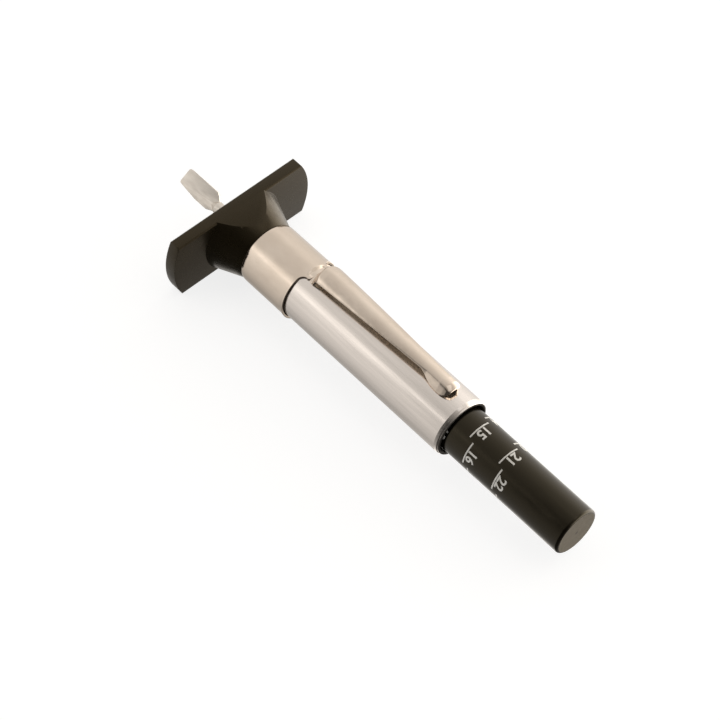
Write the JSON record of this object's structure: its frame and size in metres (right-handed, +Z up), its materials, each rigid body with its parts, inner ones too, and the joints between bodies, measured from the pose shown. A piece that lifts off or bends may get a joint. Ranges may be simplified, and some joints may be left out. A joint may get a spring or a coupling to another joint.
{
  "type": "tire tread gauge",
  "caption": "Pencil-style tire tread depth gauge: flanged foot, metal barrel with pocket clip, and a sliding scale plunger that carries a flat-bladed probe.",
  "frame": {"origin": "centre of the foot's measuring face, on the barrel's axis", "axes": "+X from the foot along the barrel to the plunger's closed end, +Y along the foot bar, +Z up with the gauge lying down"},
  "size_m": [0.0868, 0.0272, 0.0131],
  "materials": {
    "foot_plastic": "satin moulded black with a slight olive sheen",
    "barrel_aluminium": "satin drawn tube, fine lengthwise lines",
    "washer_rubber": "matt black",
    "collar_nickel": "bright nickel plate on pressed sheet",
    "clip_nickel": "bright nickel plate on pressed sheet",
    "plunger_plastic": "smooth black with a white printed scale",
    "head_nylon": "natural nylon",
    "ring_spring_steel": "bright spring steel",
    "ferrule_brass": "turned brass",
    "probe_steel": "nickel-plated wire, coined flat at the tip"
  },
  "bodies": {
    "body": {"foot": "foot_plastic", "barrel": "barrel_aluminium", "stop_washer": "washer_rubber", "clip_collar": "collar_nickel"},
    "ring": {"friction_ring": "ring_spring_steel"},
    "plunger": {"scale_plunger": "plunger_plastic", "guide_head": "head_nylon", "probe_ferrule": "ferrule_brass", "probe": "probe_steel"},
    "clip": {"pocket_clip": "clip_nickel"}
  },
  "joints": [
    {"name": "depth_slide", "type": "slide", "parent": "body", "child": "ring", "axis": [1, 0, 0], "range_m": [-0.0132, 0.0118]},
    {"name": "plunger_turn", "type": "hinge", "parent": "ring", "child": "plunger", "pos_m": [0.0368, 0, 0], "axis": [1, 0, 0], "continuous": true},
    {"name": "clip_flex", "type": "hinge", "parent": "body", "child": "clip", "pos_m": [0.01916, 0.00094, 0.00533], "axis": [0, -0.9848, 0.1736], "range_deg": [0, 4], "stiffness_Nm_per_rad": 0.8}
  ]
}
